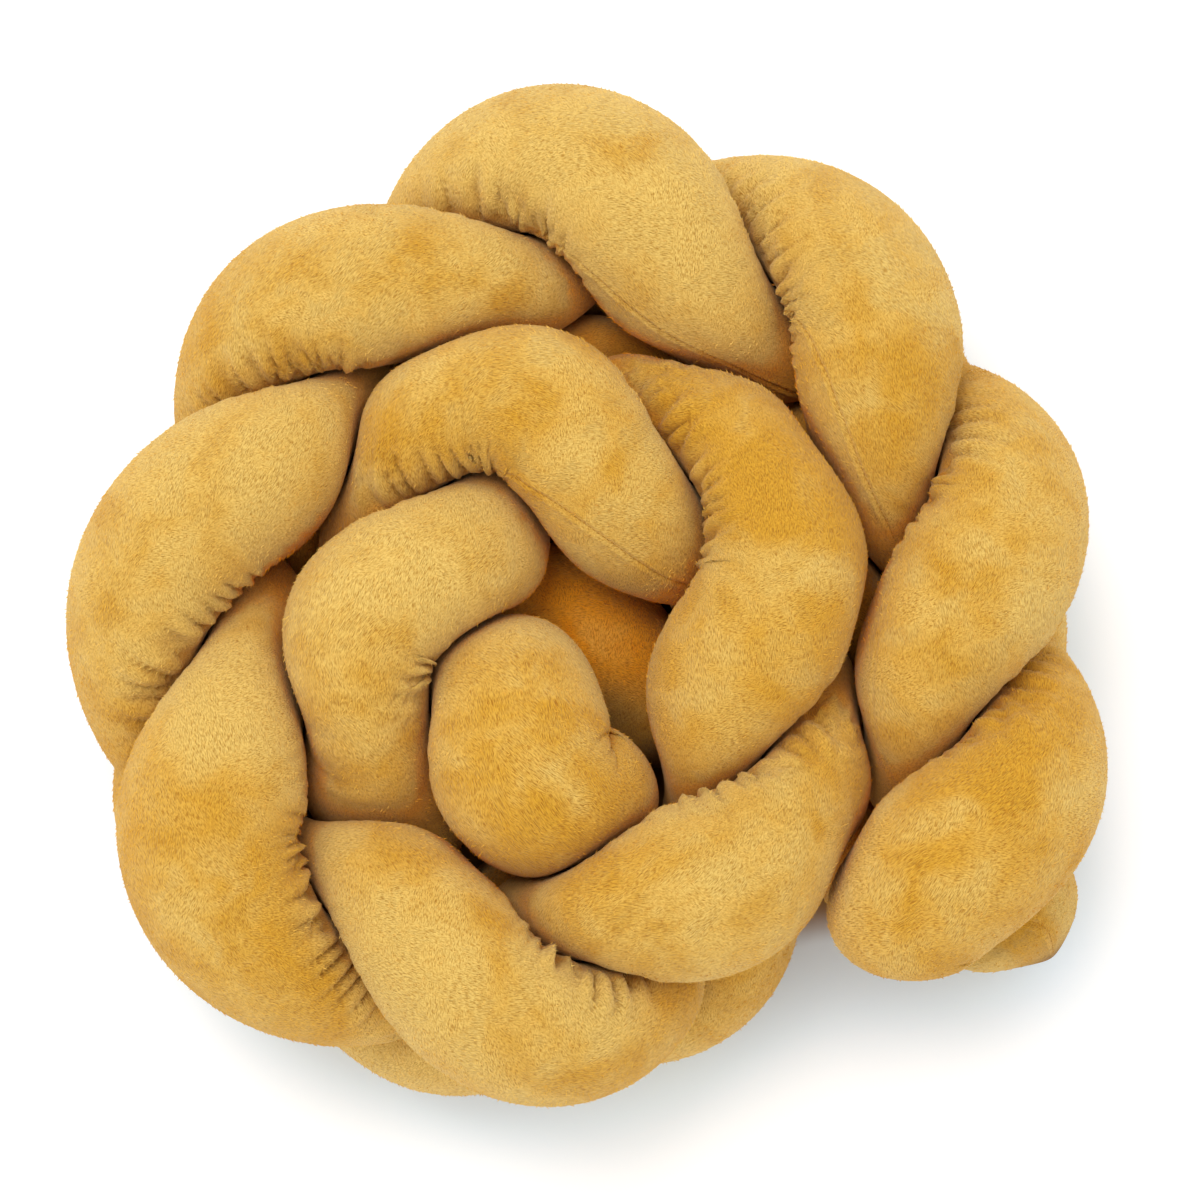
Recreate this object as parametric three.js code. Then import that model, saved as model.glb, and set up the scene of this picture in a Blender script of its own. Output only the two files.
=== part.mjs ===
// Braided crib bumper: three stuffed plush strands plaited flat, stood on edge and wound into a coil.
// Millimetres, +Z up. The origin is the middle of the base, and the plait winds anticlockwise inward.
import * as THREE from 'three';

// Sizes of the strands and of the plait
const STRAND_WIDTH = 92;
const STRAND_RADIUS = STRAND_WIDTH / 2;
const CREST_RISE = 0.66 * STRAND_WIDTH;
const SIDE_SWING = 0.25 * STRAND_WIDTH;
const LOW_HEIGHT = 0.86 * STRAND_RADIUS;
const MIDDLE_HEIGHT = LOW_HEIGHT + CREST_RISE;
const STRANDS_IN_PLAIT = 3;

// How a stuffed strand gives way where it is pressed
const STRAND_GAP = 4.5;
const FULLNESS = 1.06;
const SQUASH_POWER = 7;
const BEND_FILL = 0.9;
const LEAST_RADIUS = 4;
const PRESS_REACH = 2.6 * STRAND_RADIUS;
const OWN_REACH = 2.4 * STRAND_RADIUS;
const END_LENGTH = 0.75 * STRAND_RADIUS;
const TAPER_LENGTH = 70;

// Fineness of the faces
const RING_STEP = 22;
const RING_SIDES = 20;
const END_RINGS = 4;
const PRESS_STEP = 6;
const KNOT_STEP = 0.125;
const KNOT_LENGTH = 20;
const EASING_ROUNDS = 1;
const ARC_DIVISIONS = 1200;

const PLUSH_COLOUR = '#dca94a';
const PLUSH_ROUGHNESS = 0.95;
const PLUSH_METALNESS = 0;

// Crests along the top edge of the plait, from its loose outer end to its end in the middle.
// x and y place the crest, girth is the strand's width there as a share of STRAND_WIDTH, lean is
// how far the foot of the plait stands inward of its top, and lift is how far it is off the floor.
const CRESTS = [
  { x: 172, y: -206, girth: 1.0, lean: 8, lift: 0 },
  { x: 191, y: -134, girth: 1.02, lean: 8, lift: 0 },
  { x: 200, y: 1, girth: 1.01, lean: 12, lift: 0 },
  { x: 151, y: 123, girth: 0.95, lean: 10, lift: 0 },
  { x: 20, y: 202, girth: 1.04, lean: 8, lift: 0 },
  { x: -107, y: 154, girth: 0.965, lean: 8, lift: 0 },
  { x: -189, y: 43, girth: 0.95, lean: 8, lift: 0 },
  { x: -188, y: -116, girth: 1.03, lean: 12, lift: 0 },
  { x: -61, y: -196, girth: 0.96, lean: 2, lift: 0 },
  { x: 47, y: -157, girth: 1.0, lean: -5, lift: 0 },
  { x: 99, y: -10, girth: 1.0, lean: -20, lift: 30 },
  { x: -22, y: 88, girth: 1.02, lean: -26, lift: 34 },
  { x: -104, y: -15, girth: 1.08, lean: 8, lift: 0 },
  { x: -34, y: -94, girth: 1.11, lean: 8, lift: 0 },
  { x: 25, y: -78, girth: 1.0, lean: 8, lift: 0 },
];

// Strands of the plait: top is the first crest that the strand makes, from and to are the places,
// counted in crests, where its plaited run starts and stops, head and tail are its free ends, and
// headGirth is the share of its width that is left at the start.
const STRANDS = [
  { name: 'strand_a', top: 1, from: 0.37, to: 13.65, head: [], tail: [], headGirth: 1 },
  {
    name: 'strand_b',
    top: 2,
    from: 0.9,
    to: 12.25,
    head: [
      { x: 254, y: -187, z: 40 },
      { x: 243, y: -172, z: 43 },
      { x: 230, y: -157, z: 49 },
    ],
    tail: [
      { x: -64, y: -14, z: 55 },
      { x: -28, y: -1, z: 62 },
      { x: 2, y: -18, z: 66 },
      { x: 27, y: -48, z: 62 },
      { x: 42, y: -84, z: 52 },
    ],
    headGirth: 0.72,
  },
  {
    name: 'strand_c',
    top: 3,
    from: 0.72,
    to: 12.4,
    head: [],
    tail: [
      { x: -108, y: -86, z: 122 },
      { x: -111, y: -108, z: 112 },
      { x: -109, y: -131, z: 98 },
      { x: -100, y: -150, z: 80 },
    ],
    headGirth: 1,
  },
];

const plaitPath = new THREE.CatmullRomCurve3(
  CRESTS.map((crest) => new THREE.Vector3(crest.x, crest.y, 0)),
  false,
  'catmullrom',
);

// Value of one column of the crest table at a place between two crests.
function crestValue(column, place) {
  const last = CRESTS.length - 2;
  const row = THREE.MathUtils.clamp(Math.floor(place), 0, last);
  const share = THREE.MathUtils.clamp(place - row, 0, 1);
  return THREE.MathUtils.lerp(CRESTS[row][column], CRESTS[row + 1][column], share);
}

// Point of a strand's centreline: it climbs over a crest, crosses inward and outward, and dips again.
function plaitPoint(strand, place) {
  const share = place / (CRESTS.length - 1);
  const foot = plaitPath.getPoint(share);
  const travel = plaitPath.getTangent(share);
  const inward = new THREE.Vector3(-travel.y, travel.x, 0);
  const turn = Math.PI / 2 + (2 * Math.PI * (place - strand.top)) / STRANDS_IN_PLAIT;
  const depth = (1 - Math.sin(turn)) / 2;
  foot.addScaledVector(inward, SIDE_SWING * Math.sin(2 * turn) + crestValue('lean', place) * depth);
  foot.z = MIDDLE_HEIGHT + CREST_RISE * Math.sin(turn) + crestValue('lift', place) * depth;
  return foot;
}

// Smooth curve through points.
function curveThrough(points) {
  const curve = new THREE.CatmullRomCurve3(points, false, 'catmullrom');
  curve.arcLengthDivisions = ARC_DIVISIONS;
  return curve;
}

// Points of a line with its kinks eased out. The two ends stay where they are.
function eased(points) {
  return points.map((point, index) => {
    const before = points[index - 1] ?? point;
    const after = points[index + 1] ?? point;
    const inside = before !== point && after !== point;
    return inside ? point.clone().multiplyScalar(2).add(before).add(after).divideScalar(4) : point;
  });
}

// Centreline of a strand with its free ends, and the girth along it.
function strandLine(strand) {
  const toPoint = ({ x, y, z }) => new THREE.Vector3(x, y, z);
  const steps = Math.round((strand.to - strand.from) / KNOT_STEP);
  const rough = strand.head.map(toPoint);
  for (let step = 0; step <= steps; step += 1) {
    rough.push(plaitPoint(strand, THREE.MathUtils.lerp(strand.from, strand.to, step / steps)));
  }
  rough.push(...strand.tail.map(toPoint));
  const roughCurve = curveThrough(rough);
  let knots = roughCurve.getSpacedPoints(Math.round(roughCurve.getLength() / KNOT_LENGTH));
  for (let round = 0; round < EASING_ROUNDS; round += 1) {
    knots = eased(knots);
  }
  const curve = curveThrough(knots);
  const length = curve.getLength();
  const radiusAt = (share) => {
    const knot = roughCurve.getUtoTmapping(share) * (rough.length - 1) - strand.head.length;
    const place = strand.from + ((strand.to - strand.from) * knot) / steps;
    const taper = THREE.MathUtils.clamp((share * length) / TAPER_LENGTH, 0, 1);
    const left = THREE.MathUtils.lerp(strand.headGirth, 1, taper);
    return STRAND_RADIUS * crestValue('girth', place) * left;
  };
  return { name: strand.name, curve, length, radiusAt };
}

// Evenly spaced centreline points of every strand, which press on the strands beside them.
function pressPoints(lines) {
  return lines.flatMap((line) => {
    const count = Math.round(line.length / PRESS_STEP);
    return Array.from({ length: count + 1 }, (_, index) => ({
      line,
      along: (line.length * index) / count,
      point: line.curve.getPointAt(index / count),
      radius: line.radiusAt(index / count),
    }));
  });
}

// Places of the rings along a strand, closer together where its ends round off.
function ringPlaces(length) {
  const ends = [];
  for (let ring = 1; ring <= END_RINGS; ring += 1) {
    ends.push(END_LENGTH * (1 - Math.cos((ring / END_RINGS) * (Math.PI / 2))));
  }
  const middle = length - 2 * END_LENGTH;
  const count = Math.round(middle / RING_STEP);
  const places = [...ends];
  for (let ring = 1; ring < count; ring += 1) {
    places.push(END_LENGTH + (middle * ring) / count);
  }
  places.push(...ends.map((place) => length - place).reverse());
  return places;
}

// Share of the full radius that is left near a strand's rounded ends.
function endShare(along, length) {
  const rounding = (distance) => {
    const rest = 1 - THREE.MathUtils.clamp(distance / END_LENGTH, 0, 1);
    return Math.sqrt(Math.max(1 - rest * rest, 0));
  };
  return rounding(along) * rounding(length - along);
}

// Distance from a centreline point to the strand's surface in one direction. The surface is round
// where it is free, halfway to the next strand where two press together, and level on the floor.
function surfaceDistance(ring, direction, neighbours) {
  let limit = Infinity;
  for (const { toward, half } of neighbours) {
    const facing = direction.dot(toward);
    if (facing > 0) {
      limit = Math.min(limit, half / facing);
    }
  }
  const bend = direction.dot(ring.bend);
  if (bend > 0) {
    limit = Math.min(limit, BEND_FILL / bend);
  }
  limit = Math.max(limit, LEAST_RADIUS);
  const round = ring.radius * FULLNESS * ring.endShare;
  const soft = (round ** -SQUASH_POWER + limit ** -SQUASH_POWER) ** (-1 / SQUASH_POWER);
  return direction.z < 0 ? Math.min(soft, ring.centre.z / -direction.z) : soft;
}

// Strands, and other turns of the same strand, that press on one ring.
function ringNeighbours(line, ring, presses) {
  const found = [];
  for (const press of presses) {
    const toward = press.point.clone().sub(ring.centre);
    const distance = toward.length();
    const ownNear = press.line === line && Math.abs(press.along - ring.along) < OWN_REACH;
    if (distance < PRESS_REACH && !ownNear) {
      const shift = ring.radius ** 2 - press.radius ** 2;
      found.push({ toward, half: (distance ** 2 + shift) / 2 - (STRAND_GAP / 2) * distance });
    }
  }
  return found;
}

// Ring centres of a strand with the directions across it and the bend of the strand there.
function strandRings(line) {
  const places = ringPlaces(line.length);
  const normal = new THREE.Vector3();
  return places.map((along, index) => {
    const share = along / line.length;
    const tangent = line.curve.getTangentAt(share);
    const reach = RING_STEP / 2 / line.length;
    const before = line.curve.getTangentAt(Math.max(share - reach, 0));
    const after = line.curve.getTangentAt(Math.min(share + reach, 1));
    if (index === 0) {
      normal.crossVectors(tangent, new THREE.Vector3(0, 0, 1)).normalize();
    }
    normal.addScaledVector(tangent, -normal.dot(tangent)).normalize();
    return {
      along,
      centre: line.curve.getPointAt(share),
      side: normal.clone(),
      up: new THREE.Vector3().crossVectors(tangent, normal),
      bend: after.sub(before).divideScalar(RING_STEP),
      radius: line.radiusAt(share),
      endShare: endShare(along, line.length),
    };
  });
}

// Closed skin of one strand: rings of points joined by triangles, with a point at each end.
function strandGeometry(line, presses) {
  const rings = strandRings(line);
  const points = [line.curve.getPointAt(0)];
  const triangles = [];
  for (const ring of rings) {
    const neighbours = ringNeighbours(line, ring, presses);
    for (let side = 0; side < RING_SIDES; side += 1) {
      const angle = (2 * Math.PI * side) / RING_SIDES;
      const direction = ring.side.clone().multiplyScalar(Math.cos(angle));
      direction.addScaledVector(ring.up, Math.sin(angle));
      const distance = surfaceDistance(ring, direction, neighbours);
      points.push(ring.centre.clone().addScaledVector(direction, distance));
    }
  }
  points.push(line.curve.getPointAt(1));
  const index = (ring, side) => 1 + ring * RING_SIDES + (side % RING_SIDES);
  const lastRing = rings.length - 1;
  for (let side = 0; side < RING_SIDES; side += 1) {
    triangles.push(0, index(0, side + 1), index(0, side));
    for (let ring = 0; ring < lastRing; ring += 1) {
      triangles.push(index(ring, side), index(ring, side + 1), index(ring + 1, side));
      triangles.push(index(ring, side + 1), index(ring + 1, side + 1), index(ring + 1, side));
    }
    triangles.push(points.length - 1, index(lastRing, side), index(lastRing, side + 1));
  }
  const geometry = new THREE.BufferGeometry().setFromPoints(points);
  geometry.setIndex(triangles);
  geometry.computeVertexNormals();
  return geometry;
}

// The whole coil, moved so that the origin is the middle of its base.
function buildBumper() {
  const bumper = new THREE.Group();
  const lines = STRANDS.map(strandLine);
  const presses = pressPoints(lines);
  for (const line of lines) {
    const plush = new THREE.MeshStandardMaterial({
      color: PLUSH_COLOUR,
      roughness: PLUSH_ROUGHNESS,
      metalness: PLUSH_METALNESS,
    });
    const mesh = new THREE.Mesh(strandGeometry(line, presses), plush);
    mesh.name = line.name;
    bumper.add(mesh);
  }
  const middle = new THREE.Box3().setFromObject(bumper).getCenter(new THREE.Vector3());
  bumper.position.set(-middle.x, -middle.y, 0);
  return bumper;
}

export default buildBumper();
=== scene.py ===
"""Braided crib bumper: three stuffed plush strands, plaited flat, stood on edge and wound into a coil.

Lengths in the classes are millimetres, as in the CAD model. Meshes are made in metres, in its frame.
"""
import logging
import math
from dataclasses import dataclass, field
from enum import Enum

import bpy
import numpy as np
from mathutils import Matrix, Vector


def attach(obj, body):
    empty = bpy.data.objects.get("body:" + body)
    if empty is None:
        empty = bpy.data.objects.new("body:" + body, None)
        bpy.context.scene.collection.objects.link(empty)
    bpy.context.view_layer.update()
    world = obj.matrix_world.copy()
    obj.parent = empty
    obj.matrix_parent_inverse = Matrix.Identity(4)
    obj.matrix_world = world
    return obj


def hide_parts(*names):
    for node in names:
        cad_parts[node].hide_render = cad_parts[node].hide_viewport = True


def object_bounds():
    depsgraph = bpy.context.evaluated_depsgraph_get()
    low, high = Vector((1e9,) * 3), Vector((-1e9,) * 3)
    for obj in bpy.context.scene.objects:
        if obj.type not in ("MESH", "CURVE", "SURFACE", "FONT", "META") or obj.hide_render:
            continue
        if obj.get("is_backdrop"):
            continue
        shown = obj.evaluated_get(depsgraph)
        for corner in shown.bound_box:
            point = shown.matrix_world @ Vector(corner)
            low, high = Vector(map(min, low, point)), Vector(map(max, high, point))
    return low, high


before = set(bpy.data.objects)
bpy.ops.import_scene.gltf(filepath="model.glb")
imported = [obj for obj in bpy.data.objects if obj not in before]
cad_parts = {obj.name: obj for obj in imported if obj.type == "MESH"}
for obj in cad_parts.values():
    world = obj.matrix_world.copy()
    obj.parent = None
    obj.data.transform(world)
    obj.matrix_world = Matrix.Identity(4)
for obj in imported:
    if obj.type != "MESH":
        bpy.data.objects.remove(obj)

log = logging.getLogger("braided_bumper")

Array = np.ndarray
Material = bpy.types.Material
Mesh = bpy.types.Mesh
Piece = bpy.types.Object
Socket = bpy.types.NodeSocket
Inputs = dict[str | int, object]
Span = tuple[float, float]
Colour = tuple[float, float, float]
Place = tuple[float, float, float]

MM = 0.001
BODY = "root"
FAR = 1e6
TINY = 1e-6
FULL_TURN = 2 * math.pi
UP = (0.0, 0.0, 1.0)
LEVEL = (1.0, 1.0, 0.0)
WHITE = (1.0, 1.0, 1.0, 1.0)
NOISE_MEAN = 0.5
MIX_COLOURS = (6, 7)
MIX_RESULT = 2
RANDOM_SPAN = (2, 3)
RANDOM_NUMBER = 1


def srgb(red: int, green: int, blue: int) -> Colour:
    """A colour in the shader's linear scale from its red, green and blue as seen on a screen."""
    shares = (red / 255, green / 255, blue / 255)
    return tuple(c / 12.92 if c <= 0.04045 else ((c + 0.055) / 1.055) ** 2.4 for c in shares)


def unit(vectors: Array) -> Array:
    """The same vectors, each one long."""
    return vectors / np.maximum(np.linalg.norm(vectors, axis=-1, keepdims=True), TINY)


def ramp(values: Array, low: float, high: float) -> Array:
    """Shares that go from 0 where a value is low to 1 where it is high."""
    return np.clip((values - low) / (high - low), 0, 1)


def to_next(rings: Array) -> Array:
    """The step from each value of the rings to the next one round its ring."""
    return np.roll(rings, -1, axis=1) - rings


def beside(rings: Array) -> Array:
    """The sum of the two neighbours of each value round its ring."""
    return np.roll(rings, 1, axis=1) + np.roll(rings, -1, axis=1)


def eased_round(rings: Array) -> Array:
    """Values averaged once with their neighbours round each ring."""
    return (np.roll(rings, 1, axis=1) + 2 * rings + np.roll(rings, -1, axis=1)) / 4


def eased(rows: Array, rounds: int) -> Array:
    """Rows averaged with their neighbours, the first and last kept.

    Args:
        rows: Values, one row for each place along a run.
        rounds: How often the average is taken.

    Returns:
        The smoother rows.
    """
    smooth = rows.copy()
    for _ in range(rounds):
        smooth[1:-1] = (smooth[:-2] + 2 * smooth[1:-1] + smooth[2:]) / 4
    return smooth


def eased_map(cells: Array, rounds: int) -> Array:
    """A map's cells averaged with their neighbours along both of its axes."""
    return eased(eased(cells, rounds).T, rounds).T


def curve_through(points: Array, at: Array) -> Array:
    """Reads a smooth curve that passes through points at whole numbers.

    Args:
        points: The points to pass through, one a row.
        at: Where to read the curve, counted in points.

    Returns:
        One point of the curve for each reading.
    """
    before = 2 * points[:1] - points[1:2]
    after = 2 * points[-1:] - points[-2:-1]
    padded = np.concatenate([before, points, after])
    index = np.clip(np.floor(at).astype(int), 0, len(points) - 2)
    u = (at - index)[:, None]
    a, b, c, d = (padded[index + k] for k in range(4))
    cubic = 3 * b - a - 3 * c + d
    return 0.5 * (2 * b + (c - a) * u + (2 * a - 5 * b + 4 * c - d) * u**2 + cubic * u**3)


def read_rows(rows: Array, at: Array) -> Array:
    """Reads smoothly between rows of any shape, at places counted in rows."""
    flat = rows.reshape(len(rows), -1)
    return curve_through(flat, at).reshape(len(at), *rows.shape[1:])


def read_round(rows: Array, at: Array) -> Array:
    """Reads smoothly between rows that close on themselves, at places counted in rows."""
    return read_rows(np.concatenate([rows[-1:], rows, rows[:2]]), 1 + at)


def spaced(points: Array, values: Array, step: float) -> tuple[Array, Array, Array]:
    """Points set out evenly along a dense run of points.

    Args:
        points: The dense run.
        values: A value carried along with each point of it.
        step: The wanted distance between the new points.

    Returns:
        The new points, their distances along the run, and the values there.
    """
    lengths = np.linalg.norm(np.diff(points, axis=0), axis=1)
    along = np.concatenate([[0.0], np.cumsum(lengths)])
    count = max(2, round(along[-1] / step))
    wanted = np.linspace(0, along[-1], count + 1)
    placed = np.stack([np.interp(wanted, along, points[:, k]) for k in range(3)], axis=1)
    return placed, wanted, np.interp(wanted, along, values)


def added(name: str, data: bpy.types.ID) -> Piece:
    """Adds a new object to the scene.

    Args:
        name: Its name.
        data: Its mesh, light or camera.

    Returns:
        The object.
    """
    made = bpy.data.objects.new(name, data)
    bpy.context.scene.collection.objects.link(made)
    return made


def carry(made: Mesh, name: str, values: Array) -> None:
    """Writes values into a mesh as an attribute.

    Args:
        made: The mesh.
        name: The attribute's name.
        values: One number or vector for each point.
    """
    kind, key = ("FLOAT", "value") if values.ndim == 1 else ("FLOAT_VECTOR", "vector")
    layer = made.attributes.new(name, kind, "POINT")
    layer.data.foreach_set(key, values.astype(np.float32).ravel())


class Lay(Enum):
    """Which way the pile was last brushed, as an angle in degrees from the run of the strand."""

    ALONG = 12.0
    ACROSS = 62.0
    BACK = -38.0


@dataclass(frozen=True)
class Crest:
    """Where one strand comes over the top of the plait, counted from the coil's outer end.

    x and y place the plait's middle, girth is the strand's width there as a share of the plain width, lean is
    how far the plait's foot stands inside its top, lift is how far the strand beneath rides up, and pale is
    how much paler the pile there is painted, for the light that falls on it and catches its brushed nap.
    """

    x: float
    y: float
    girth: float
    lean: float
    lift: float = 0.0
    pale: float = 0.0


@dataclass(frozen=True)
class StrandPlan:
    """How one strand runs through the plait.

    top is the first crest that the strand comes over, and start and stop are its ends, counted in crests.
    seam has rows of a crest count, the degrees round the strand at which its lengthwise seam lies there, and
    how firmly it is drawn in. head and tail are points that lead its ends on where they leave the plait, and
    head_girth is the share of its width that is left at the start.
    """

    name: str
    slot: str
    top: int
    start: float
    stop: float
    seed: int
    seam: tuple[tuple[float, float, float], ...]
    head: tuple[Place, ...] = ()
    tail: tuple[Place, ...] = ()
    head_girth: float = 1.0


CRESTS = (
    Crest(172, -206, 1.00, 8),
    Crest(191, -134, 1.02, 8, pale=-0.05),
    Crest(200, 1, 1.01, 12),
    Crest(151, 123, 0.95, 10),
    Crest(20, 202, 1.04, 8, pale=0.11),
    Crest(-107, 154, 0.965, 8, pale=0.03),
    Crest(-189, 43, 0.95, 8, pale=0.04),
    Crest(-188, -116, 1.03, 12, pale=-0.02),
    Crest(-61, -196, 0.96, 2),
    Crest(47, -157, 1.00, -5, pale=0.03),
    Crest(99, -10, 1.00, -20, lift=30, pale=-0.09),
    Crest(-22, 88, 1.02, -26, lift=34),
    Crest(-104, -15, 1.08, 8, pale=0.1),
    Crest(-34, -94, 1.11, 8, pale=-0.03),
    Crest(25, -78, 1.00, 8),
)

PLANS = (
    StrandPlan(
        "strand_a", "plush_a", top=1, start=0.37, stop=13.65, seed=3,
        seam=(
            (0.4, 130, 0.3), (2.0, 150, 0.3), (3.35, 188, 1.0), (3.6, 185, 1.0), (3.85, 174, 1.0),
            (5.2, 140, 0.3), (13.65, 130, 0.3),
        ),
    ),
    StrandPlan(
        "strand_b", "plush_b", top=2, start=0.9, stop=12.25, seed=4, head_girth=0.72,
        seam=(
            (0.55, 270, 1.0), (0.62, 273, 1.0), (0.72, 276, 1.0), (1.3, 215, 0.3), (1.72, 189, 0.3),
            (1.9, 168, 0.3), (2.6, 150, 0.3), (3.6, 170, 0.3), (4.3, 195, 0.2), (4.48, 220, 0.25),
            (4.75, 222, 0.25), (4.95, 205, 0.15), (5.3, 165, 0.2), (6.5, 140, 0.3), (9.0, 140, 0.3),
            (10.42, 188, 1.0), (10.6, 203, 1.0), (10.75, 203, 1.0), (10.87, 192, 0.7), (11.4, 150, 0.3),
            (12.0, 80, 0.3), (12.3, 20, 0.3), (12.6, -30, 0.3),
        ),
        head=((254, -187, 40), (243, -172, 43), (230, -157, 49)),
        tail=((-64, -14, 55), (-28, -1, 62), (2, -18, 66), (27, -48, 62), (42, -84, 52)),
    ),
    StrandPlan(
        "strand_c", "plush_c", top=3, start=0.72, stop=12.4, seed=5,
        seam=(
            (0.7, 230, 0.3), (1.8, 270, 0.3), (2.5, 315, 1.0), (2.62, 312, 1.0), (2.8, 300, 1.0),
            (2.9, 288, 0.8), (3.6, 230, 0.3), (4.5, 215, 0.3),
        ),
        tail=((-108, -86, 122), (-111, -108, 112), (-109, -131, 98), (-100, -150, 80)),
    ),
)


@dataclass
class Centreline:
    """Evenly spaced points along the middle of a strand, with distance, crest count and radius at each."""

    points: Array
    along: Array
    place: Array
    radius: Array

    def tangent(self) -> Array:
        """The line's own direction at each point."""
        return unit(np.gradient(self.points, axis=0))

    def square(self) -> tuple[Array, Array]:
        """Directions carried along the line without twist.

        Returns:
            Two directions at each point, square to the line and to each other.
        """
        tangent = self.tangent()
        side = np.zeros_like(tangent)
        side[0] = unit(np.cross(tangent[0], UP))
        for i in range(1, len(side)):
            side[i] = unit(side[i - 1] - tangent[i] * (side[i - 1] @ tangent[i]))
        return side, np.cross(tangent, side)


@dataclass
class Plait:
    """The flat plait of three, standing on edge along the coil."""

    strand_width: float = 92.0
    rise_share: float = 0.66
    swing_share: float = 0.25
    low_share: float = 0.86
    crest_step: float = 0.125
    knot_length: float = 20.0
    curve_detail: int = 20
    heading_reach: float = 0.01
    taper_length: float = 70.0

    @property
    def radius(self) -> float:
        """Half the plain width of a strand."""
        return self.strand_width / 2

    def crest_value(self, name: str, place: Array) -> Array:
        """A value of the crests, read between them at the given crest counts."""
        return np.interp(place, np.arange(len(CRESTS)), [getattr(crest, name) for crest in CRESTS])

    def plaited_points(self, plan: StrandPlan) -> tuple[Array, Array]:
        """Points of one strand's middle as the plait carries it up, over, down and under.

        Args:
            plan: The strand.

        Returns:
            The points, ends included, and their crest counts.
        """
        count = round((plan.stop - plan.start) / self.crest_step)
        place = np.linspace(plan.start, plan.stop, count + 1)
        foot = np.array([(crest.x, crest.y) for crest in CRESTS], float)
        ahead = curve_through(foot, place + self.heading_reach)
        behind = curve_through(foot, place - self.heading_reach)
        travel = unit(ahead - behind)
        inward = np.stack([-travel[:, 1], travel[:, 0]], axis=1)
        turn = math.pi / 2 + FULL_TURN / len(PLANS) * (place - plan.top)
        swing = self.swing_share * self.strand_width * np.sin(2 * turn)
        depth = (1 - np.sin(turn)) / 2
        climb = self.rise_share * self.strand_width * (1 + np.sin(turn))
        height = self.low_share * self.radius + climb + self.crest_value("lift", place) * depth
        sideways = swing + self.crest_value("lean", place) * depth
        ground = curve_through(foot, place) + inward * sideways[:, None]
        body = np.concatenate([ground, height[:, None]], axis=1)
        head, tail = (np.array(end, float).reshape(-1, 3) for end in (plan.head, plan.tail))
        head_place = place[0] - self.crest_step * np.arange(len(head), 0, -1)
        tail_place = place[-1] + self.crest_step * np.arange(1, len(tail) + 1)
        return np.concatenate([head, body, tail]), np.concatenate([head_place, place, tail_place])

    def dense_curve(self, points: Array, values: Array) -> tuple[Array, Array]:
        """A fine run of points on the curve through the given ones, with their values."""
        at = np.linspace(0, len(points) - 1, self.curve_detail * len(points))
        return curve_through(points, at), np.interp(at, np.arange(len(points)), values)

    def centreline(self, plan: StrandPlan, step: float) -> Centreline:
        """The middle of one strand.

        Args:
            plan: The strand.
            step: The distance between points.

        Returns:
            The centreline, from the strand's outer end to its inner one.
        """
        rough, places = self.dense_curve(*self.plaited_points(plan))
        knots, _, places = spaced(rough, places, self.knot_length)
        dense, places = self.dense_curve(eased(knots, 1), places)
        points, along, place = spaced(dense, places, step)
        taper = np.interp(along, (0.0, self.taper_length), (plan.head_girth, 1.0))
        return Centreline(points, along, place, self.radius * self.crest_value("girth", place) * taper)


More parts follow.
